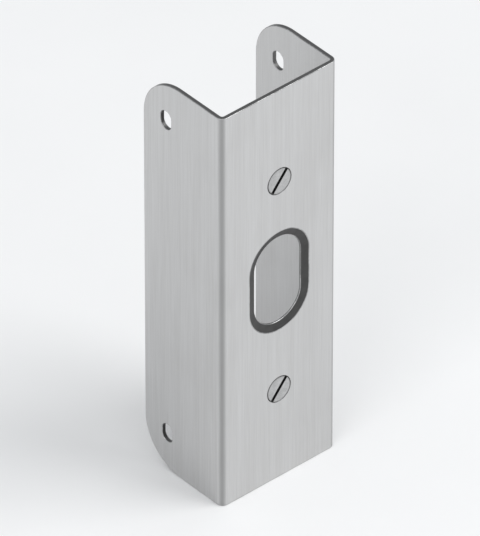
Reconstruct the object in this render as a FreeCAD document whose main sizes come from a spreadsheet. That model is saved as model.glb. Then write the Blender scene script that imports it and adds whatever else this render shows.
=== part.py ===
import FreeCAD, Part
import math
import os
import Sketcher

# Door reinforcer plate: a sheet steel channel that wraps round the edge of a door, with its two screws.
# X runs across the door's thickness, +Y into the door and +Z up. The channel stands on its lower edges,
# and the origin is at the middle of its footprint, with the web's outer face towards -Y.

size_list = [
    ("door_thickness", 44.45, "thickness of the door that fills the channel"),
    ("door_clearance", 0.05, "room between the door and the two flanges together"),
    ("sheet_thickness", 1.5, "thickness of the steel sheet"),
    ("plate_height", 152.4, "height of the folded plate"),
    ("flange_depth", 36.5, "web's outer face to the flanges' back edges"),
    ("bend_radius", 0.8, "inside radius of the two folds"),
    ("corner_radius", 16.5, "rounding of the flanges' free corners"),
    ("edge_break", 0.2, "width of the small chamfer on the cut edges"),
    ("slot_width", 4.8, "width of a flange slot"),
    ("slot_length", 6.8, "length of a flange slot, end to end"),
    ("slot_from_back", 10.5, "flange's back edge to the middle of a slot"),
    ("slot_from_end", 14.5, "plate's end to the middle of a slot"),
    ("opening_width", 19.0, "clear width of the latch opening"),
    ("opening_height", 33.0, "clear height of the latch opening"),
    ("opening_rise", 2.0, "middle of the plate up to the middle of the latch opening"),
    ("bevel_width", 2.8, "width of the coined band round the latch opening"),
    ("rim_thickness", 0.6, "sheet left at the inner edge of the coined band"),
    ("screw_spacing", 82.0, "distance between the two screws"),
    ("screw_length", 25.4, "length of a screw with its head"),
    ("screw_diameter", 4.83, "outside diameter of a screw's shank"),
    ("point_length", 6.5, "length of a screw's tapered point"),
    ("tip_diameter", 0.5, "diameter of the blunt tip"),
    ("head_diameter", 9.3, "diameter of a screw's head"),
    ("head_angle", 82.0, "full angle of the head's cone, in degrees"),
    ("head_rim", 0.25, "height of the straight rim round the head"),
    ("seat_clearance", 0.05, "room round the head's cone in its countersink"),
    ("driver_slot_width", 1.3, "width of the slot for the screwdriver"),
    ("driver_slot_depth", 1.2, "depth of the slot for the screwdriver"),
    ("driver_slot_lean", 50.0, "lean of the driver slots from level, in degrees"),
]

# Lengths that follow from the sizes above, as expressions for the features
outer_width = "(sizes.door_thickness + sizes.door_clearance + 2 * sizes.sheet_thickness)"
outer_bend = "(sizes.bend_radius + sizes.sheet_thickness)"
bevel_depth = "(sizes.sheet_thickness - sizes.rim_thickness)"
half_cone_slope = "tan(sizes.head_angle / 2 * 1 deg)"
cone_length = f"((sizes.head_diameter - sizes.screw_diameter) / 2 / {half_cone_slope})"
countersink_diameter = (
    f"(sizes.head_diameter + 2 * sizes.head_rim * {half_cone_slope} + 2 * sizes.seat_clearance)"
)
driver_slot_run = "(1.5 * sizes.head_diameter)"

doc = FreeCAD.newDocument("door_reinforcer_plate")

sheet = doc.addObject("Spreadsheet::Sheet", "sizes")
for row, (alias, value, meaning) in enumerate(size_list, start=1):
    sheet.set(f"A{row}", alias)
    sheet.set(f"B{row}", str(value))
    sheet.set(f"C{row}", meaning)
    sheet.setAlias(f"B{row}", alias)
doc.recompute()


def size(alias):
    return float(getattr(sheet, alias))


def value_of(expression):
    return float(sheet.evalExpression(expression))


def new_body(label):
    body = doc.addObject("PartDesign::Body", label)
    body.Label = label
    return body


def new_sketch(body, name, plane_role, offset):
    # A sketch on one of the body's own planes. offset gives expressions for its shift along its own axes.
    sketch = body.newObject("Sketcher::SketchObject", name)
    plane = [item for item in body.Origin.OriginFeatures if item.Role == plane_role][0]
    sketch.AttachmentSupport = [(plane, "")]
    sketch.MapMode = "FlatFace"
    for axis, expression in offset.items():
        sketch.setExpression(f"AttachmentOffset.Base.{axis}", expression)
    doc.recompute()
    return sketch


def add_size(sketch, kind, places, expression):
    # A dimension of the sketch that follows an expression
    index = sketch.addConstraint(Sketcher.Constraint(kind, *places, value_of(expression)))
    sketch.setExpression(f"Constraints[{index}]", expression)


def add_outline(sketch, points):
    # A closed run of straight lines through the points, joined end to end
    vectors = [FreeCAD.Vector(x, y, 0) for x, y in points]
    following = vectors[1:] + vectors[:1]
    lines = [sketch.addGeometry(Part.LineSegment(a, b)) for a, b in zip(vectors, following)]
    for line, next_line in zip(lines, lines[1:] + lines[:1]):
        sketch.addConstraint(Sketcher.Constraint("Coincident", line, 2, next_line, 1))
    return lines


def add_obround(sketch, x, y, width, length):
    # An upright slot with round ends, drawn about x, y. It returns its upper and its lower arc.
    radius = value_of(width) / 2
    reach = value_of(length) / 2 - radius
    normal = FreeCAD.Vector(0, 0, 1)
    upper_circle = Part.Circle(FreeCAD.Vector(x, y + reach, 0), normal, radius)
    lower_circle = Part.Circle(FreeCAD.Vector(x, y - reach, 0), normal, radius)
    upper = sketch.addGeometry(Part.ArcOfCircle(upper_circle, 0, math.pi))
    lower = sketch.addGeometry(Part.ArcOfCircle(lower_circle, math.pi, 2 * math.pi))
    left_top = FreeCAD.Vector(x - radius, y + reach, 0)
    left_bottom = FreeCAD.Vector(x - radius, y - reach, 0)
    right_top = FreeCAD.Vector(x + radius, y + reach, 0)
    right_bottom = FreeCAD.Vector(x + radius, y - reach, 0)
    left = sketch.addGeometry(Part.LineSegment(left_top, left_bottom))
    right = sketch.addGeometry(Part.LineSegment(right_bottom, right_top))
    sketch.addConstraint(Sketcher.Constraint("Tangent", upper, 2, left, 1))
    sketch.addConstraint(Sketcher.Constraint("Tangent", left, 2, lower, 1))
    sketch.addConstraint(Sketcher.Constraint("Tangent", lower, 2, right, 1))
    sketch.addConstraint(Sketcher.Constraint("Tangent", right, 2, upper, 1))
    sketch.addConstraint(Sketcher.Constraint("Vertical", left))
    add_size(sketch, "Radius", [upper], f"{width} / 2")
    add_size(sketch, "DistanceY", [lower, 3, upper, 3], f"{length} - {width}")
    return upper, lower


def picked_edges(feature, chosen):
    # The feature and the names of those of its edges that chosen(edge) picks
    numbered = enumerate(feature.Shape.Edges, start=1)
    return feature, [f"Edge{number}" for number, edge in numbered if chosen(edge)]


def add_fillet(body, name, radius, chosen):
    picked = picked_edges(body.Tip, chosen)
    fillet = body.newObject("PartDesign::Fillet", name)
    fillet.Base = picked
    fillet.setExpression("Radius", radius)
    doc.recompute()


def add_chamfer(body, name, width, chosen, depth=None):
    # A chamfer of one width, or one that reaches width along the outer face and depth into the sheet
    picked = picked_edges(body.Tip, chosen)
    chamfer = body.newObject("PartDesign::Chamfer", name)
    chamfer.Base = picked
    chamfer.setExpression("Size", width)
    if depth:
        chamfer.ChamferType = "Two distances"
        chamfer.FlipDirection = True
        chamfer.setExpression("Size2", depth)
    doc.recompute()


tolerance = 0.001


def near(a, b):
    return abs(a - b) < tolerance


# The plate

plate = new_body("reinforcer_plate")
half_width = value_of(outer_width) / 2
front = -size("flange_depth") / 2
back = size("flange_depth") / 2
wall = size("sheet_thickness")
top = size("plate_height")

# Its section, a square-cornered channel seen from above
profile = new_sketch(plate, "channel_section", "XY_Plane", {})
corners = [
    (-half_width, back),
    (-half_width, front),
    (half_width, front),
    (half_width, back),
    (half_width - wall, back),
    (half_width - wall, front + wall),
    (-half_width + wall, front + wall),
    (-half_width + wall, back),
]
sides = add_outline(profile, corners)
near_outer, web_outer, far_outer, far_back, far_inner, web_inner, near_inner, near_back = sides
for upright in (near_outer, far_outer, far_inner, near_inner):
    profile.addConstraint(Sketcher.Constraint("Vertical", upright))
for level in (far_back, web_inner, near_back):
    profile.addConstraint(Sketcher.Constraint("Horizontal", level))
profile.addConstraint(Sketcher.Constraint("Symmetric", web_outer, 1, web_outer, 2, -2))
profile.addConstraint(Sketcher.Constraint("Horizontal", near_outer, 1, far_outer, 2))
add_size(profile, "DistanceX", [web_outer, 1, web_outer, 2], outer_width)
add_size(profile, "DistanceY", [far_outer, 1, far_outer, 2], "sizes.flange_depth")
add_size(profile, "DistanceY", [web_outer, 1, -1, 1], "sizes.flange_depth / 2")
add_size(profile, "DistanceX", [far_back, 2, far_back, 1], "sizes.sheet_thickness")
add_size(profile, "DistanceX", [near_back, 2, near_back, 1], "sizes.sheet_thickness")
add_size(profile, "DistanceY", [web_outer, 2, web_inner, 1], "sizes.sheet_thickness")

channel = plate.newObject("PartDesign::Pad", "channel")
channel.Profile = profile
channel.setExpression("Length", "sizes.plate_height")
doc.recompute()


def upright_at(edge, x, y):
    box = edge.BoundBox
    return near(box.ZLength, top) and near(abs(box.Center.x), x) and near(box.Center.y, y)


# The folds, inside and outside
add_fillet(
    plate, "inner_folds", "sizes.bend_radius",
    lambda edge: upright_at(edge, half_width - wall, front + wall),
)
add_fillet(plate, "outer_folds", outer_bend, lambda edge: upright_at(edge, half_width, front))

# The flanges' free corners
add_fillet(
    plate, "flange_corners", "sizes.corner_radius",
    lambda edge: near(edge.BoundBox.XLength, wall) and near(edge.BoundBox.Center.y, back),
)


def is_sharp(edge):
    # True where the two faces beside the edge meet at more than a slight angle
    faces = plate.Tip.Shape.ancestorsOfType(edge, Part.Face)
    if len(faces) != 2:
        return False
    middle = edge.valueAt((edge.FirstParameter + edge.LastParameter) / 2)
    normals = [face.normalAt(*face.Surface.parameter(middle)) for face in faces]
    return abs(normals[0].dot(normals[1])) < 0.7


# The cut edges of the sheet, all round the plate's outline
add_chamfer(plate, "broken_edges", "sizes.edge_break", is_sharp)

# Two slots in each flange, cut through both flanges at once. Their sketch starts at the lower back corner.
slots_sketch = new_sketch(plate, "slots_outline", "YZ_Plane", {"x": "sizes.flange_depth / 2"})
slot_heights = {
    "lower": "sizes.slot_from_end",
    "upper": "(sizes.plate_height - sizes.slot_from_end)",
}
for slot_height in slot_heights.values():
    height_now = value_of(slot_height)
    upper_arc, lower_arc = add_obround(
        slots_sketch, -size("slot_from_back"), height_now, "sizes.slot_width", "sizes.slot_length"
    )
    add_size(slots_sketch, "DistanceX", [lower_arc, 3, -1, 1], "sizes.slot_from_back")
    lower_centre = f"{slot_height} - (sizes.slot_length - sizes.slot_width) / 2"
    add_size(slots_sketch, "DistanceY", [-1, 1, lower_arc, 3], lower_centre)
slots = plate.newObject("PartDesign::Pocket", "flange_slots")
slots.Profile = slots_sketch
slots.Type = "ThroughAll"
slots.SideType = "Symmetric"
doc.recompute()

# The latch opening, a little above the middle of the web. Its sketch starts on the web's outer face.
opening_middle = {
    "y": "sizes.plate_height / 2 + sizes.opening_rise",
    "z": "sizes.flange_depth / 2",
}
opening_sketch = new_sketch(plate, "opening_outline", "XZ_Plane", opening_middle)
upper_arc, lower_arc = add_obround(opening_sketch, 0, 0, "sizes.opening_width", "sizes.opening_height")
opening_sketch.addConstraint(Sketcher.Constraint("Symmetric", upper_arc, 3, lower_arc, 3, -1, 1))
opening = plate.newObject("PartDesign::Pocket", "latch_opening")
opening.Profile = opening_sketch
opening.setExpression("Length", "sizes.sheet_thickness")
doc.recompute()


def round_opening(edge, y):
    box = edge.BoundBox
    reach = max(abs(box.XMin), abs(box.XMax))
    inside = reach < size("opening_width") / 2 + tolerance
    return inside and near(box.YLength, 0) and near(box.Center.y, y)


add_chamfer(
    plate, "opening_back_edge", "sizes.edge_break",
    lambda edge: round_opening(edge, front + wall),
)

# The coined band round the opening, pressed into the outer face
add_chamfer(
    plate, "coined_band", "sizes.bevel_width",
    lambda edge: round_opening(edge, front), bevel_depth,
)

# The two countersunk screw holes, above and below the middle of the web's outer face
web_middle = {"y": "sizes.plate_height / 2", "z": "sizes.flange_depth / 2"}
holes_sketch = new_sketch(plate, "screw_hole_centres", "XZ_Plane", web_middle)
circles = []
for side in (1, -1):
    centre = FreeCAD.Vector(0, side * size("screw_spacing") / 2, 0)
    circle = Part.Circle(centre, FreeCAD.Vector(0, 0, 1), size("screw_diameter") / 2)
    circles.append(holes_sketch.addGeometry(circle))
    add_size(holes_sketch, "Diameter", [circles[-1]], "sizes.screw_diameter")
holes_sketch.addConstraint(Sketcher.Constraint("PointOnObject", circles[0], 3, -2))
holes_sketch.addConstraint(Sketcher.Constraint("Symmetric", circles[0], 3, circles[1], 3, -1, 1))
add_size(holes_sketch, "DistanceY", [circles[1], 3, circles[0], 3], "sizes.screw_spacing")
holes = plate.newObject("PartDesign::Hole", "screw_holes")
holes.Profile = holes_sketch
doc.recompute()
holes.DepthType = "ThroughAll"
holes.setExpression("Diameter", "sizes.screw_diameter + 2 * sizes.seat_clearance")
holes.HoleCutType = "Countersink"
holes.HoleCutCustomValues = True
holes.setExpression("HoleCutDiameter", countersink_diameter)
holes.setExpression("HoleCutCountersinkAngle", "sizes.head_angle")
doc.recompute()


# The screws

def make_screw(label, side):
    # A countersunk screw whose head is flush with the web. Its axis is its own Y, with the head at the origin.
    screw = new_body(label)
    outline = new_sketch(screw, f"{label}_outline", "YZ_Plane", {})
    cone_end = size("head_rim") + value_of(cone_length)
    head_radius = size("head_diameter") / 2
    shank_radius = size("screw_diameter") / 2
    tip_radius = size("tip_diameter") / 2
    point_start = size("screw_length") - size("point_length")
    lines = add_outline(outline, [
        (0, 0),
        (0, head_radius),
        (size("head_rim"), head_radius),
        (cone_end, shank_radius),
        (point_start, shank_radius),
        (size("screw_length"), tip_radius),
        (size("screw_length"), 0),
    ])
    face, rim, cone, shank, point, tip, centre_line = lines
    outline.addConstraint(Sketcher.Constraint("Coincident", face, 1, -1, 1))
    outline.addConstraint(Sketcher.Constraint("Vertical", face))
    outline.addConstraint(Sketcher.Constraint("Horizontal", rim))
    outline.addConstraint(Sketcher.Constraint("Horizontal", shank))
    outline.addConstraint(Sketcher.Constraint("Vertical", tip))
    outline.addConstraint(Sketcher.Constraint("Horizontal", centre_line))
    add_size(outline, "DistanceY", [face, 1, face, 2], "sizes.head_diameter / 2")
    add_size(outline, "DistanceX", [rim, 1, rim, 2], "sizes.head_rim")
    add_size(outline, "DistanceX", [cone, 1, cone, 2], cone_length)
    add_size(outline, "DistanceY", [-1, 1, shank, 1], "sizes.screw_diameter / 2")
    add_size(outline, "DistanceX", [point, 1, point, 2], "sizes.point_length")
    add_size(outline, "DistanceY", [tip, 2, tip, 1], "sizes.tip_diameter / 2")
    add_size(outline, "DistanceX", [centre_line, 2, centre_line, 1], "sizes.screw_length")
    turned = screw.newObject("PartDesign::Revolution", f"{label}_blank")
    turned.Profile = outline
    turned.ReferenceAxis = (outline, ["H_Axis"])
    turned.Angle = 360
    doc.recompute()

    # The driver slot, a cut that runs past the head at both ends
    slot_sketch = new_sketch(screw, f"{label}_driver_slot_outline", "XZ_Plane", {})
    half_length = value_of(driver_slot_run) / 2
    half_slot = size("driver_slot_width") / 2
    bottom, right, upper, left = add_outline(slot_sketch, [
        (-half_length, -half_slot),
        (half_length, -half_slot),
        (half_length, half_slot),
        (-half_length, half_slot),
    ])
    for level in (bottom, upper):
        slot_sketch.addConstraint(Sketcher.Constraint("Horizontal", level))
    for upright in (right, left):
        slot_sketch.addConstraint(Sketcher.Constraint("Vertical", upright))
    slot_sketch.addConstraint(Sketcher.Constraint("Symmetric", bottom, 1, upper, 1, -1, 1))
    add_size(slot_sketch, "DistanceX", [bottom, 1, bottom, 2], driver_slot_run)
    add_size(slot_sketch, "DistanceY", [right, 1, right, 2], "sizes.driver_slot_width")
    driver_slot = screw.newObject("PartDesign::Pocket", f"{label}_driver_slot")
    driver_slot.Profile = slot_sketch
    driver_slot.setExpression("Length", "sizes.driver_slot_depth")

    # Its place in the web, turned so that the driver slot leans
    screw.Placement.Rotation = FreeCAD.Rotation(FreeCAD.Vector(0, -1, 0), 0)
    screw.setExpression("Placement.Rotation.Angle", "sizes.driver_slot_lean * 1 deg")
    screw.setExpression("Placement.Base.y", "-sizes.flange_depth / 2")
    height = f"sizes.plate_height / 2 + {side} * sizes.screw_spacing / 2"
    screw.setExpression("Placement.Base.z", height)
    doc.recompute()
    return screw


upper_screw = make_screw("upper_screw", 1)
lower_screw = make_screw("lower_screw", -1)

# Each object is sound before anything is written
doc.recompute()
for item in doc.Objects:
    if "Invalid" in item.State or "Error" in item.State:
        raise RuntimeError(f"{item.Label} failed: {item.State}")

os.makedirs("parts", exist_ok=True)
for body in (plate, upper_screw, lower_screw):
    if body.Shape.isNull() or not body.Shape.isValid() or len(body.Shape.Solids) != 1:
        raise RuntimeError(f"{body.Label} isn't one sound solid")
    print(body.Label, round(body.Shape.Volume, 2), "mm3", body.Shape.BoundBox)
    body.Shape.exportStep(f"parts/{body.Label}.step")
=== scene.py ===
import bmesh
import bpy
import math
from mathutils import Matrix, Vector


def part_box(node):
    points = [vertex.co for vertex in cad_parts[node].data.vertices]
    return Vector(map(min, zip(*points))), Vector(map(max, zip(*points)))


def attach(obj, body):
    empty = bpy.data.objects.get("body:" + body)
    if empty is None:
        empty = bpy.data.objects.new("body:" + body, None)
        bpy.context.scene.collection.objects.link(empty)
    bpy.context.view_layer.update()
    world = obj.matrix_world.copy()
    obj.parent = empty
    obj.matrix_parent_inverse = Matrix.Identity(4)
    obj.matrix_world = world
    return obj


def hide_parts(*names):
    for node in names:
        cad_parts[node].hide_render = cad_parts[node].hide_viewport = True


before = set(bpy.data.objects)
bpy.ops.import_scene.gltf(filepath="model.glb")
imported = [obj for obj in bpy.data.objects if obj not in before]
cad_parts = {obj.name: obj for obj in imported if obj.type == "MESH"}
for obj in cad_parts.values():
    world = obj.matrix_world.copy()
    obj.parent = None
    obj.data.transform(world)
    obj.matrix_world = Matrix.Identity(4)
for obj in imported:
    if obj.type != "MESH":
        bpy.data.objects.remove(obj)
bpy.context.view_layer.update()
print("Frame loaded with the nodes", sorted(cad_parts))

mm = 0.001
hairBreadth = 0.01 * mm
quarterTurn = math.radians(90)


# Working on a piece

def chooseOnly(piece):
    bpy.ops.object.select_all(action="DESELECT")
    piece.select_set(True)
    bpy.context.view_layer.objects.active = piece


def workOn(piece, mode="FACE"):
    # Opens the piece in edit mode with nothing selected
    chooseOnly(piece)
    bpy.ops.object.mode_set(mode="EDIT")
    bpy.ops.mesh.select_mode(type=mode)
    bpy.ops.mesh.select_all(action="DESELECT")


def pick(piece, mode, wanted):
    # Selects the faces, edges or vertices that the test wants, and nothing else
    bpy.ops.mesh.select_mode(type=mode)
    bpy.ops.mesh.select_all(action="DESELECT")
    shape = bmesh.from_edit_mesh(piece.data)
    items = {"VERT": shape.verts, "EDGE": shape.edges, "FACE": shape.faces}[mode]
    found = [item for item in items if wanted(item)]
    for item in found:
        item.select_set(True)
    shape.select_flush_mode()
    bmesh.update_edit_mesh(piece.data)
    return len(found)


def paintPicked(piece, materialNumber):
    # Gives the selected faces one of the piece's materials
    piece.active_material_index = materialNumber
    bpy.ops.object.material_slot_assign()


def turnOutwards():
    bpy.ops.mesh.select_all(action="SELECT")
    bpy.ops.mesh.normals_make_consistent(inside=False)


def closeEdit():
    bpy.ops.object.mode_set(mode="OBJECT")


def middle(edge):
    return (edge.verts[0].co + edge.verts[1].co) / 2


def newPiece(name):
    # Names the primitive that was just added
    piece = bpy.context.active_object
    piece.name = name
    piece.data.name = name
    return piece


def settle(piece):
    # The piece's place goes into its mesh, so that its object sits at the origin
    chooseOnly(piece)
    bpy.ops.object.transform_apply(location=True, rotation=True, scale=True)


def useModifier(piece, kind, **settings):
    # Adds a modifier, sets it and applies it
    chooseOnly(piece)
    modifier = piece.modifiers.new(kind.title(), kind)
    for setting, value in settings.items():
        setattr(modifier, setting, value)
    bpy.ops.object.modifier_apply(modifier=modifier.name)


def combine(piece, tool, operation):
    # Cuts the tool out of the piece, or joins it on, and clears the tool away
    useModifier(
        piece, "BOOLEAN", object=tool, operation=operation, solver="EXACT", material_mode="TRANSFER"
    )
    bpy.data.objects.remove(tool)


def mergeClose(piece):
    # Clears the slivers that the cuts leave
    workOn(piece)
    bpy.ops.mesh.select_all(action="SELECT")
    bpy.ops.mesh.remove_doubles(threshold=0.5 * hairBreadth)
    bpy.ops.mesh.dissolve_degenerate(threshold=0.2 * hairBreadth)
    turnOutwards()
    closeEdit()


def roundEdges(piece, width, segments, materialNumber):
    # Rounds the edges that carry a bevel weight, and shades the flat faces flat
    useModifier(
        piece, "BEVEL", limit_method="WEIGHT", width=width, segments=segments, material=materialNumber,
        use_clamp_overlap=False,
    )
    bpy.ops.object.shade_smooth_by_angle(angle=math.radians(35))
    useModifier(piece, "WEIGHTED_NORMAL", keep_sharp=True)


def obroundTool(name, place, width, height, steps, turn, materials):
    # A flat upright obround: a plane whose four corners are rounded until they meet
    bpy.ops.object.select_all(action="DESELECT")
    bpy.ops.mesh.primitive_plane_add(size=1, location=place, rotation=turn)
    tool = newPiece(name)
    tool.scale = (width, height, 1)
    settle(tool)
    for material in materials:
        tool.data.materials.append(material)
    workOn(tool, "VERT")
    bpy.ops.mesh.select_all(action="SELECT")
    bpy.ops.mesh.bevel(offset=width / 2, segments=steps, affect="VERTICES", clamp_overlap=True)
    bpy.ops.mesh.select_all(action="SELECT")
    bpy.ops.mesh.remove_doubles(threshold=0.1 * hairBreadth)
    closeEdit()
    return tool


def turnedPiece(name, start, stations, steps, material):
    # A turned solid about an axis along Y: a disc, extruded and scaled from one station to the next
    bpy.ops.object.select_all(action="DESELECT")
    depthNow, radiusNow = stations[0]
    place = start + Vector((0, depthNow, 0))
    bpy.ops.mesh.primitive_circle_add(
        vertices=steps, radius=radiusNow, fill_type="NGON", location=place, rotation=(quarterTurn, 0, 0)
    )
    piece = newPiece(name)
    settle(piece)
    piece.data.materials.append(material)
    workOn(piece)
    bpy.ops.mesh.select_all(action="SELECT")
    for depth, radius in stations[1:]:
        bpy.ops.mesh.extrude_region_move(TRANSFORM_OT_translate={"value": (0, depth - depthNow, 0)})
        share = radius / radiusNow
        place = start + Vector((0, depth, 0))
        bpy.ops.transform.resize(value=(share, 1, share), center_override=place)
        depthNow, radiusNow = depth, radius
    turnOutwards()
    closeEdit()
    return piece


# Shader sums: a reading is one output of a node and takes part in sums as a number does

class Reading:
    def __init__(self, board, socket):
        self.board = board
        self.socket = socket

    def __add__(self, other):
        return self.board.sum("ADD", self, other)

    def __radd__(self, other):
        return self.board.sum("ADD", other, self)

    def __sub__(self, other):
        return self.board.sum("SUBTRACT", self, other)

    def __rsub__(self, other):
        return self.board.sum("SUBTRACT", other, self)

    def __mul__(self, other):
        return self.board.sum("MULTIPLY", self, other)

    def __rmul__(self, other):
        return self.board.sum("MULTIPLY", other, self)

    def __pow__(self, other):
        return self.board.sum("POWER", self, other)

    def __abs__(self):
        return self.board.sum("ABSOLUTE", self)


class Board:
    # The node tree of one material
    def __init__(self, name):
        self.material = bpy.data.materials.new(name)
        self.material.use_nodes = True
        self.tree = self.material.node_tree
        self.tree.nodes.clear()

    def node(self, kind, settings, sockets, output=0):
        # Adds a node: its settings first, then the values or links of its sockets
        made = self.tree.nodes.new(kind)
        for setting, value in settings.items():
            setattr(made, setting, value)
        for key, value in sockets.items():
            if isinstance(value, Reading):
                self.tree.links.new(value.socket, made.inputs[key])
            else:
                made.inputs[key].default_value = value
        return Reading(self, made.outputs[output]) if made.outputs else None

    def sum(self, operation, *terms):
        return self.node("ShaderNodeMath", {"operation": operation}, dict(enumerate(terms)))

    def place(self):
        # The spot on the piece, in millimetres
        spot = self.node("ShaderNodeTexCoord", {}, {}, "Object")
        settings = {"operation": "SCALE"}
        return self.node("ShaderNodeVectorMath", settings, {"Vector": spot, "Scale": 1 / mm})

    def axis(self, spot, letter):
        return self.node("ShaderNodeSeparateXYZ", {}, {"Vector": spot}, letter)

    def noise(self, spot, marks, detail=3, turn=(0, 0, 0), shift=(0, 0, 0)):
        # Grain whose marks have the given width and height, in millimetres
        width, height = marks
        stretched = self.node("ShaderNodeMapping", {}, {
            "Vector": spot,
            "Location": shift,
            "Rotation": turn,
            "Scale": (1 / width, 1 / width, 1 / height),
        })
        return self.node("ShaderNodeTexNoise", {}, {"Vector": stretched, "Scale": 1, "Detail": detail})

    def ramp(self, value, low, high):
        # 0 up to low and 1 from high on, smooth in between
        settings = {"interpolation_type": "SMOOTHSTEP"}
        sockets = {"Value": value, "From Min": low, "From Max": high}
        return self.node("ShaderNodeMapRange", settings, sockets)

    def ripple(self, value, spacing):
        # Between -1 and 1, with one wave for each spacing
        return self.sum("SINE", value * (2 * math.pi / spacing))

    def blend(self, share, first, second):
        # From the first colour to the second as the share goes from 0 to 1
        sockets = {"Factor": share, 6: first, 7: second}
        return self.node("ShaderNodeMix", {"data_type": "RGBA"}, sockets, 2)

    def bump(self, height, strength, distance):
        sockets = {"Height": height, "Strength": strength, "Distance": distance}
        return self.node("ShaderNodeBump", {}, sockets)

    def finish(self, sockets):
        # The surface itself, from one Principled shader
        surface = self.node("ShaderNodeBsdfPrincipled", {}, sockets)
        self.node("ShaderNodeOutputMaterial", {}, {"Surface": surface})
        return self.material


def grey(level, warmth=0.0):
    return (level * (1 + warmth), level, level * (1 - warmth), 1)


# What the plate's surfaces look like. Marks are a pattern's width and height in millimetres.

plateLook = {
    "faceLevel": 0.6,
    "faceRoughness": 0.3,
    "grainStretch": 0.55,
    "hairMarks": (0.16, 14),
    "strandMarks": (0.6, 45),
    "sweepMarks": (3.5, 120),
    "smudgeMarks": (26, 34),
    "scratchMarks": (0.35, 30),
    "foldShadeShare": 0.6,
    "edgeLevel": 0.13,
    "edgeRoughness": 0.5,
    "tearMarks": (0.35, 0.35),
    "arrisLevel": 0.5,
    "arrisRoughness": 0.28,
    "nickMarks": (0.5, 0.5),
    "bandShadeLevel": 0.07,
    "bandRoughness": 0.42,
    "bandLineSpacing": 0.2992,
}


def brushedFace(look, halfWidth, halfDepth, bend):
    # Satin steel brushed along the plate's height, dulled where the sheet was stretched over the folds,
    # with painted shade darkening the folds
    board = Board("brushedFace")
    spot = board.place()
    level = look["faceLevel"]
    pastSide = abs(board.axis(spot, "X")) - (halfWidth - bend) / mm
    pastFront = (bend - halfDepth) / mm - board.axis(spot, "Y")
    foldDullAndShade = board.ramp(board.sum("MINIMUM", pastSide, pastFront), 0.1, 0.7 * bend / mm)
    hair = board.noise(spot, look["hairMarks"], 4)
    strand = board.noise(spot, look["strandMarks"], 4, shift=(7, 3, 1))
    sweep = board.noise(spot, look["sweepMarks"], 2, shift=(2, 9, 4))
    cloud = board.noise(spot, look["smudgeMarks"], 3, shift=(5, 1, 8))
    streak = board.noise(spot, look["scratchMarks"], 2, turn=(0.12, 0.2, 0))
    scratch = board.ramp(streak, 0.66, 0.72)
    smudge = board.ramp(cloud, 0.45, 0.75)
    grain = 0.45 * hair + 0.35 * strand + 0.2 * sweep
    colour = board.blend(board.ramp(grain, 0.3, 0.7), grey(level * 0.9, 0.006), grey(level * 1.05))
    colour = board.blend(smudge * 0.25, colour, grey(level * 0.86, 0.012))
    colour = board.blend(scratch * 0.25, colour, grey(level * 0.7))
    # Painted shade along the folds, laid over the real dulling of the stretched metal
    colour = board.blend(foldDullAndShade * look["foldShadeShare"], colour, grey(level * 0.3))
    roughness = look["faceRoughness"] + 0.14 * (grain - 0.5) + 0.07 * smudge + 0.05 * scratch + 0.08 * foldDullAndShade
    return board.finish({
        "Base Color": colour,
        "Metallic": 1.0,
        "Roughness": roughness,
        "Anisotropic": look["grainStretch"],
        "Normal": board.bump(grain - 0.3 * scratch, 0.35, 0.02 * mm),
    })


def cutEdge(look):
    # The sheet's sheared edges, rough and darker than its faces
    board = Board("cutEdge")
    spot = board.place()
    tear = board.noise(spot, look["tearMarks"], 4)
    drift = board.noise(spot, (5, 5), 2, shift=(3, 1, 2))
    tone = 0.6 * tear + 0.4 * drift
    level = look["edgeLevel"]
    return board.finish({
        "Base Color": board.blend(tone, grey(level * 0.7), grey(level * 1.5, 0.01)),
        "Metallic": 1.0,
        "Roughness": look["edgeRoughness"] + 0.2 * (tear - 0.5),
        "Normal": board.bump(tear, 0.5, 0.03 * mm),
    })


def wornEdge(look):
    # The rounded arrises between the faces and the cut edges, rubbed smooth with small nicks
    board = Board("wornEdge")
    spot = board.place()
    nick = board.noise(spot, look["nickMarks"])
    drift = board.noise(spot, (7, 7), 2, shift=(6, 2, 5))
    rubbed = board.ramp(0.45 * nick + 0.55 * drift, 0.4, 0.6)
    level = look["arrisLevel"]
    return board.finish({
        "Base Color": board.blend(rubbed, grey(level * 0.55), grey(level)),
        "Metallic": 1.0,
        "Roughness": look["arrisRoughness"] + 0.15 * (1.0 - rubbed),
        "Normal": board.bump(nick, 0.3, 0.02 * mm),
    })


def coinedBand(look, middleHeight, straight):
    # The band that the coining die burnished round the opening, with fine lines that follow its outline,
    # and painted shade making the sloping band near-black
    board = Board("coinedBand")
    spot = board.place()
    across = board.axis(spot, "X")
    up = abs(board.axis(spot, "Z") - middleHeight / mm)
    past = board.sum("MAXIMUM", up - straight / 2 / mm, 0.0)
    reach = (across * across + past * past) ** 0.5
    lines = board.ripple(reach, look["bandLineSpacing"])
    drift = board.noise(spot, (2.5, 2.5))
    fine = board.noise(spot, (0.25, 0.25), shift=(1, 2, 3))
    tone = 0.5 * drift + 0.3 * fine + 0.1 * (lines + 1.0)
    # The band's low level is painted shade on its slope; the lines and grain are its own texture
    level = look["bandShadeLevel"]
    return board.finish({
        "Base Color": board.blend(tone, grey(level * 0.6), grey(level * 1.6, 0.01)),
        "Metallic": 1.0,
        "Roughness": look["bandRoughness"] + 0.16 * (fine - 0.5) + 0.04 * lines,
        "Normal": board.bump(0.2 * lines + 0.5 * fine, 0.4, 0.02 * mm),
    })


# The plate

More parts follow.
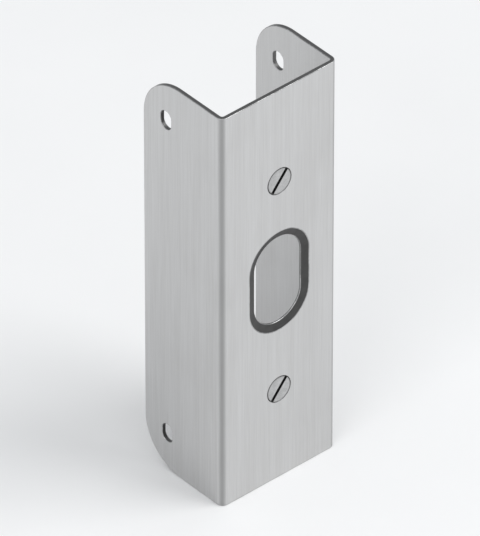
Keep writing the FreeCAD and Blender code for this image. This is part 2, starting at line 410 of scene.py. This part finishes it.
plateSizes = {
    "sheet": 1.5 * mm,
    "foldInside": 0.8 * mm,
    "foldSteps": 14,
    "corner": 16.5 * mm,
    "cornerSteps": 32,
    "slotWidth": 4.8 * mm,
    "slotLength": 6.8 * mm,
    "slotFromBack": 10.5 * mm,
    "slotFromEnd": 14.5 * mm,
    "slotSteps": 14,
    "openingWidth": 19.0 * mm,
    "openingHeight": 33.0 * mm,
    "openingRise": 2.0 * mm,  # above the plate's middle
    "openingSteps": 32,
    "bandWidth": 2.8 * mm,
    "bandDepth": 0.9 * mm,
    "screwSpacing": 82.0 * mm,
    "holeWidth": 4.93 * mm,
    "countersinkWidth": 9.83 * mm,
    "countersinkDepth": 2.82 * mm,
    "holeSteps": 64,
    "edgeRound": 0.2 * mm,
    "edgeSteps": 3,
    "holeShare": 0.35,  # of that rounding, at the screw holes
    "bandShare": 0.8,  # and at the band's outer rim
}


def foldBlank(sizes, low, high, materials):
    # A box without its back and ends, with its folds and free corners rounded, and then its thickness
    bpy.ops.object.select_all(action="DESELECT")
    bpy.ops.mesh.primitive_cube_add(size=1, location=(low + high) / 2)
    plate = newPiece("foldedPlate")
    plate.scale = high - low
    settle(plate)
    for material in materials:
        plate.data.materials.append(material)
    workOn(plate)
    pick(plate, "FACE", lambda item: item.normal.y > 0.5 or abs(item.normal.z) > 0.5)
    bpy.ops.mesh.delete(type="FACE")
    pick(plate, "EDGE", lambda item: len(item.link_faces) == 2)
    bend = sizes["foldInside"] + sizes["sheet"]
    bpy.ops.mesh.bevel(offset=bend, segments=sizes["foldSteps"], affect="EDGES")
    pick(plate, "VERT", lambda item: item.co.y > high.y - hairBreadth)
    bpy.ops.mesh.bevel(offset=sizes["corner"], segments=sizes["cornerSteps"], affect="VERTICES")
    closeEdit()
    useModifier(
        plate, "SOLIDIFY", thickness=sizes["sheet"], offset=-1, use_even_offset=True, material_offset_rim=1
    )
    return plate


def cutSlots(plate, sizes, low, high, edge):
    # Each slot goes through both flanges at once
    through = high.x - low.x + 2 * sizes["sheet"]
    for height in (low.z + sizes["slotFromEnd"], high.z - sizes["slotFromEnd"]):
        slot = obroundTool(
            "slotTool", Vector((low.x - sizes["sheet"], high.y - sizes["slotFromBack"], height)),
            sizes["slotWidth"], sizes["slotLength"], sizes["slotSteps"],
            (quarterTurn, 0, quarterTurn), [edge],
        )
        workOn(slot)
        bpy.ops.mesh.select_all(action="SELECT")
        bpy.ops.mesh.extrude_region_move(TRANSFORM_OT_translate={"value": (through, 0, 0)})
        turnOutwards()
        closeEdit()
        combine(plate, slot, "DIFFERENCE")


def cutOpening(plate, sizes, openingMiddle, edge, band):
    # The tool starts in front of the web, and has the coined band as its sloping step
    opening = obroundTool(
        "openingTool", openingMiddle - Vector((0, sizes["sheet"], 0)),
        sizes["openingWidth"] + 2 * sizes["bandWidth"], sizes["openingHeight"] + 2 * sizes["bandWidth"],
        sizes["openingSteps"], (quarterTurn, 0, 0), [edge, band],
    )
    workOn(opening)
    bpy.ops.mesh.select_all(action="SELECT")
    bpy.ops.mesh.extrude_region_move(TRANSFORM_OT_translate={"value": (0, sizes["sheet"], 0)})
    bpy.ops.mesh.inset(thickness=sizes["bandWidth"], depth=0)
    bpy.ops.transform.translate(value=(0, sizes["bandDepth"], 0))
    bpy.ops.mesh.extrude_region_move(TRANSFORM_OT_translate={"value": (0, sizes["sheet"], 0)})
    turnOutwards()
    pick(opening, "FACE", lambda item: 0.5 < abs(item.normal.y) < 0.99)
    paintPicked(opening, 1)
    closeEdit()
    combine(plate, opening, "DIFFERENCE")


def cutScrewHoles(plate, sizes, webMiddle, edge):
    for side in (1, -1):
        hole = turnedPiece(
            "holeTool", webMiddle + Vector((0, 0, side * sizes["screwSpacing"] / 2)),
            [
                (-sizes["sheet"], sizes["countersinkWidth"] / 2),
                (0, sizes["countersinkWidth"] / 2),
                (sizes["countersinkDepth"], sizes["holeWidth"] / 2),
                (2 * sizes["countersinkDepth"], sizes["holeWidth"] / 2),
            ],
            sizes["holeSteps"], edge,
        )
        combine(plate, hole, "DIFFERENCE")


def roundPlate(plate, sizes, webMiddle, openingMiddle):
    # Every sharp edge is rounded, less so at the screw holes and on the band's outer rim
    sharp = math.radians(30)

    def isSharp(item):
        return len(item.link_faces) == 2 and item.calc_face_angle() > sharp

    def atHole(item):
        # On the web, and hardly further from a hole's middle than its countersink reaches
        spot = middle(item) - webMiddle
        aside = abs(abs(spot.z) - sizes["screwSpacing"] / 2)
        return spot.y < 1.1 * sizes["sheet"] and math.hypot(spot.x, aside) < 0.6 * sizes["countersinkWidth"]

    def onBandRim(item):
        spot = middle(item) - openingMiddle
        past = max(0, abs(spot.z) - (sizes["openingHeight"] - sizes["openingWidth"]) / 2)
        away = math.hypot(spot.x, past) - sizes["openingWidth"] / 2 - sizes["bandWidth"]
        return abs(spot.y) < hairBreadth and abs(away) < 20 * hairBreadth

    workOn(plate)
    sharpCount = pick(plate, "EDGE", lambda item: isSharp(item) and not atHole(item))
    bpy.ops.transform.edge_bevelweight(value=1.0)
    holeCount = pick(plate, "EDGE", lambda item: isSharp(item) and atHole(item))
    bpy.ops.transform.edge_bevelweight(value=sizes["holeShare"])
    rimCount = pick(plate, "EDGE", onBandRim)
    bpy.ops.transform.edge_bevelweight(value=sizes["bandShare"])
    closeEdit()
    roundEdges(plate, sizes["edgeRound"], sizes["edgeSteps"], 3)
    print("Edges rounded:", sharpCount, "sharp,", holeCount, "at the holes,", rimCount, "on the band's rim")


def makePlate(sizes, look):
    low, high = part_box("reinforcer_plate")
    half = (high - low) / 2
    webMiddle = Vector((low.x + half.x, low.y, low.z + half.z))
    openingMiddle = webMiddle + Vector((0, 0, sizes["openingRise"]))
    face = brushedFace(look, half.x, half.y, sizes["foldInside"] + sizes["sheet"])
    edge = cutEdge(look)
    band = coinedBand(look, openingMiddle.z, sizes["openingHeight"] - sizes["openingWidth"])
    plate = foldBlank(sizes, low, high, [face, edge, band, wornEdge(look)])
    print("Blank folded")
    cutSlots(plate, sizes, low, high, edge)
    cutOpening(plate, sizes, openingMiddle, edge, band)
    cutScrewHoles(plate, sizes, webMiddle, edge)
    mergeClose(plate)
    print("Slots, opening and screw holes cut")
    roundPlate(plate, sizes, webMiddle, openingMiddle)
    return plate


plate = makePlate(plateSizes, plateLook)
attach(plate, "root")
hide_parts("reinforcer_plate")


# What the screws' surfaces look like

screwLook = {
    "headLevel": 0.5,
    "headRoughness": 0.27,
    "ringSpacing": 0.22,
    "rimReach": (4.4, 4.95),  # from the axis, in millimetres
    "slotShadeLevel": 0.05,
    "threadLevel": 0.45,
    "threadRoughness": 0.34,
    "threadLineSpacing": 0.16535,
}


def turnedHead(look, middleHeight, spacing):
    # The head's face, with the fine rings that a lathe leaves round the screw's axis, darker towards its
    # rim
    board = Board("turnedHead")
    spot = board.place()
    across = board.axis(spot, "X")
    up = abs(board.axis(spot, "Z") - middleHeight / mm) - spacing / 2 / mm
    reach = (across * across + up * up) ** 0.5
    cloud = board.noise(spot, (1.6, 1.6))
    pit = board.noise(spot, (0.22, 0.22), shift=(4, 2, 6))
    rings = board.ripple(reach + 0.12 * cloud, look["ringSpacing"])
    towardsRim = board.ramp(reach + 0.5 * cloud, *look["rimReach"])
    tone = board.ramp(0.5 * cloud + 0.3 * pit + 0.1 * (rings + 1.0), 0.3, 0.7)
    level = look["headLevel"]
    colour = board.blend(tone, grey(level * 0.8), grey(level * 1.15))
    # Darker and rougher towards the head's rim
    colour = board.blend(towardsRim * 0.7, colour, grey(level * 0.3, 0.02))
    return board.finish({
        "Base Color": colour,
        "Metallic": 1.0,
        "Roughness": look["headRoughness"] + 0.12 * (pit - 0.5) + 0.03 * rings + 0.15 * towardsRim,
        "Normal": board.bump(0.35 * rings + 0.4 * pit, 0.35, 0.02 * mm),
    })


def shadedDirtySlot(look):
    # The driver slot's walls and floor, with painted shade that makes the recess near-black, and the dirt
    # that gathers there
    board = Board("shadedDirtySlot")
    spot = board.place()
    dirt = board.noise(spot, (0.4, 0.4), 4)
    scrape = board.noise(spot, (0.1, 0.9), 2, turn=(0, 0.7, 0))
    tone = 0.6 * dirt + 0.4 * scrape
    # The slot's near-black colour is painted shade in the recess, with some dirt
    level = look["slotShadeLevel"]
    return board.finish({
        "Base Color": board.blend(tone, grey(level * 0.5, 0.03), grey(level * 1.8)),
        "Metallic": 0.8,
        "Roughness": 0.5 + 0.3 * (dirt - 0.5),
        "Normal": board.bump(tone, 0.5, 0.03 * mm),
    })


def rolledThread(look):
    # The shank and the rolled thread, plated, with faint drawing lines
    board = Board("rolledThread")
    spot = board.place()
    cloud = board.noise(spot, (2.2, 2.2))
    fine = board.noise(spot, (0.12, 0.5), shift=(2, 8, 1))
    lines = board.ripple(board.axis(spot, "Y") + 0.1 * cloud, look["threadLineSpacing"])
    tone = board.ramp(0.6 * cloud + 0.4 * fine, 0.3, 0.7)
    level = look["threadLevel"]
    return board.finish({
        "Base Color": board.blend(tone, grey(level * 0.7, 0.02), grey(level * 1.2)),
        "Metallic": 1.0,
        "Roughness": look["threadRoughness"] + 0.16 * (fine - 0.5) + 0.02 * lines,
        "Normal": board.bump(0.2 * lines + 0.5 * fine, 0.3, 0.02 * mm),
    })


# The screws

screwSizes = {
    "length": 25.4 * mm,
    "headRadius": 4.65 * mm,
    "headRim": 0.25 * mm,
    "headBreak": 0.09 * mm,
    "coneEnd": 2.82 * mm,
    "shankRadius": 2.415 * mm,
    "plainEnd": 8.4 * mm,
    "runOut": 0.9 * mm,
    "coreRadius": 1.65 * mm,
    "pointLength": 6.5 * mm,
    "tipShare": 0.1035,  # what is left of each radius at the blunt tip
    "turnSteps": 72,
    "threadStart": 7.4 * mm,
    "threadPitch": 1.95 * mm,
    "threadTurns": 9,
    "threadSteps": 40,
    "threadFoot": 1.5 * mm,
    "threadCrest": 2.4 * mm,
    "threadBase": 0.95 * mm,
    "crestShare": 0.16,  # of the thread's base, at its crest
    "slotWidth": 1.3 * mm,
    "slotDepth": 1.2 * mm,
    "slotLean": -50,
    "slotRound": 0.06 * mm,
    "slotRoundSteps": 2,
    "spacing": 82.0 * mm,
}


def turnBlank(name, sizes, start, head, thread):
    # The screw before its thread, with a plain cylinder where its point will be.
    # The head's edge is broken in two steps.
    blank = turnedPiece(
        name, start,
        [
            (0, sizes["headRadius"] - sizes["headBreak"]),
            (0.3 * sizes["headBreak"], sizes["headRadius"] - 0.3 * sizes["headBreak"]),
            (sizes["headBreak"], sizes["headRadius"]),
            (sizes["headRim"], sizes["headRadius"]),
            (sizes["coneEnd"], sizes["shankRadius"]),
            (sizes["plainEnd"], sizes["shankRadius"]),
            (sizes["plainEnd"] + sizes["runOut"], sizes["coreRadius"]),
            (sizes["length"] - sizes["pointLength"], sizes["coreRadius"]),
            (sizes["length"], sizes["coreRadius"]),
        ],
        sizes["turnSteps"], head,
    )
    blank.data.materials.append(thread)
    workOn(blank)
    pick(blank, "FACE", lambda item: item.calc_center_median().y > start.y + sizes["headRim"])
    paintPicked(blank, 1)
    closeEdit()
    return blank


def threadRidge(sizes, start, thread):
    # The ridge of the thread: a flat trapezoid wound round the Y axis
    height = sizes["threadCrest"] - sizes["threadFoot"]
    profilePlace = Vector((sizes["threadFoot"] + height / 2, start.y + sizes["threadStart"], 0))
    bpy.ops.object.select_all(action="DESELECT")
    bpy.ops.mesh.primitive_plane_add(size=1, location=profilePlace)
    ridge = newPiece("threadRidge")
    ridge.scale = (height, sizes["threadBase"], 1)
    settle(ridge)
    ridge.data.materials.append(thread)
    workOn(ridge)
    pick(ridge, "VERT", lambda item: item.co.x > profilePlace.x)
    bpy.ops.transform.resize(value=(1, sizes["crestShare"], 1), center_override=profilePlace)
    bpy.ops.mesh.select_all(action="SELECT")
    bpy.ops.mesh.delete(type="ONLY_FACE")
    closeEdit()
    useModifier(
        ridge, "SCREW", axis="Y", screw_offset=sizes["threadPitch"], iterations=sizes["threadTurns"],
        steps=sizes["threadSteps"], render_steps=sizes["threadSteps"],
    )
    workOn(ridge)
    bpy.ops.mesh.select_all(action="SELECT")
    bpy.ops.mesh.fill_holes(sides=4)
    turnOutwards()
    closeEdit()
    return ridge


def cutDriverSlot(screw, sizes, start, shadedSlotMaterial):
    # The tool lies across the whole head, half of it in front of the head's face
    bpy.ops.object.select_all(action="DESELECT")
    lean = (0, math.radians(sizes["slotLean"]), 0)
    bpy.ops.mesh.primitive_cube_add(size=1, location=start, rotation=lean)
    slot = newPiece("driverSlotTool")
    slot.scale = (3 * sizes["headRadius"], 2 * sizes["slotDepth"], sizes["slotWidth"])
    settle(slot)
    slot.data.materials.append(shadedSlotMaterial)
    combine(screw, slot, "DIFFERENCE")
    mergeClose(screw)

    # The slot's edges are rounded, but not those along its floor
    floorDepth = start.y + sizes["slotDepth"] - 10 * hairBreadth
    sharp = math.radians(60)
    workOn(screw)
    pick(screw, "EDGE", lambda item: middle(item).y < floorDepth and item.calc_face_angle(0) > sharp)
    bpy.ops.transform.edge_bevelweight(value=1.0)
    closeEdit()
    roundEdges(screw, sizes["slotRound"], sizes["slotRoundSteps"], 0)


def makeScrew(name, sizes, look, middleHeight):
    # The start of the point lies on the origin, so that the point tapers from there
    start = Vector((0, sizes["pointLength"] - sizes["length"], 0))
    thread = rolledThread(look)
    screw = turnBlank(name, sizes, start, turnedHead(look, middleHeight, sizes["spacing"]), thread)
    combine(screw, threadRidge(sizes, start, thread), "UNION")
    mergeClose(screw)
    useModifier(
        screw, "SIMPLE_DEFORM", deform_method="TAPER", deform_axis="Y", factor=sizes["tipShare"] - 1,
        limits=(1 - sizes["pointLength"] / sizes["length"], 1),
    )
    cutDriverSlot(screw, sizes, start, shadedDirtySlot(look))
    return screw


def seatScrew(screw, sizes, low, high):
    # From the origin to the place of the screw's own node
    headDepth = sizes["length"] - sizes["pointLength"]
    screw.location = ((low.x + high.x) / 2, low.y + headDepth, (low.z + high.z) / 2)
    settle(screw)
    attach(screw, "root")


upperLow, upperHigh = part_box("upper_screw")
lowerLow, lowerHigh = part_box("lower_screw")
upperScrew = makeScrew("upperScrew", screwSizes, screwLook, (upperLow.z + lowerHigh.z) / 2)
lowerScrew = upperScrew.copy()
lowerScrew.data = upperScrew.data.copy()
lowerScrew.name = "lowerScrew"
lowerScrew.data.name = "lowerScrew"
bpy.context.scene.collection.objects.link(lowerScrew)
seatScrew(upperScrew, screwSizes, upperLow, upperHigh)
seatScrew(lowerScrew, screwSizes, lowerLow, lowerHigh)
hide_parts("upper_screw")
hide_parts("lower_screw")
print("Screws threaded and seated")


# The floor and the studio's light

studio = {
    "floorSize": 14,
    "floorLevels": (0.88, 0.92),
    "floorRoughness": 0.75,
    "skyColour": (0.93, 0.95, 0.97, 1),
    "skyStrength": 0.68,
    "lightAim": Vector((0, 0, 0.07)),
    "lights": {
        "keyLight": {"place": Vector((1.0, -1.2, 1.7)), "size": 1.4, "power": 23},
        "fillLight": {"place": Vector((-1.3, -0.5, 1.2)), "size": 1.0, "power": 7},
    },
}


def layFloor(look):
    bpy.ops.object.select_all(action="DESELECT")
    bpy.ops.mesh.primitive_plane_add(size=look["floorSize"], location=(0, 0, -hairBreadth))
    floor = newPiece("floor")
    settle(floor)
    board = Board("paleFloor")
    tone = board.noise(board.place(), (60, 60), 4)
    dark, light = look["floorLevels"]
    colour = board.blend(tone, grey(dark), grey(light))
    floor.data.materials.append(board.finish({"Base Color": colour, "Roughness": look["floorRoughness"]}))


def lightSky(look):
    world = bpy.data.worlds.new("studio")
    bpy.context.scene.world = world
    world.use_nodes = True
    sky = world.node_tree.nodes["Background"]
    sky.inputs["Color"].default_value = look["skyColour"]
    sky.inputs["Strength"].default_value = look["skyStrength"]


def hangLight(name, light, aim):
    # A square soft light that the camera doesn't see
    lamp = bpy.data.lights.new(name, "AREA")
    lamp.size = light["size"]
    lamp.energy = light["power"]
    holder = bpy.data.objects.new(name, lamp)
    bpy.context.scene.collection.objects.link(holder)
    holder.location = light["place"]
    holder.rotation_mode = "QUATERNION"
    holder.rotation_quaternion = (aim - light["place"]).to_track_quat("-Z", "Y")
    holder.visible_camera = False


layFloor(studio)
lightSky(studio)
for name, light in studio["lights"].items():
    hangLight(name, light, studio["lightAim"])
bpy.context.scene.view_settings.view_transform = "Standard"


# The camera, at the drawing's viewing angle and nearly without perspective

drawingView = {
    "target": Vector((-0.22, 0, 72.60)) * mm,
    "azimuth": math.radians(-41.235),
    "elevation": math.radians(38.021),
    "distance": 3.81,
    "lens": 821.5,
    "sensor": 36,
}


def placeCamera(view):
    azimuth, elevation = view["azimuth"], view["elevation"]
    back = Vector((
        math.sin(azimuth) * math.cos(elevation),
        -math.cos(azimuth) * math.cos(elevation),
        math.sin(elevation),
    ))
    lens = bpy.data.cameras.new("camera")
    lens.lens = view["lens"]
    lens.sensor_width = view["sensor"]
    camera = bpy.data.objects.new("camera", lens)
    bpy.context.scene.collection.objects.link(camera)
    camera.location = view["target"] + back * view["distance"]
    camera.rotation_mode = "QUATERNION"
    camera.rotation_quaternion = (-back).to_track_quat("-Z", "Y")
    bpy.context.scene.camera = camera


placeCamera(drawingView)
print("Floor, lights and camera placed")
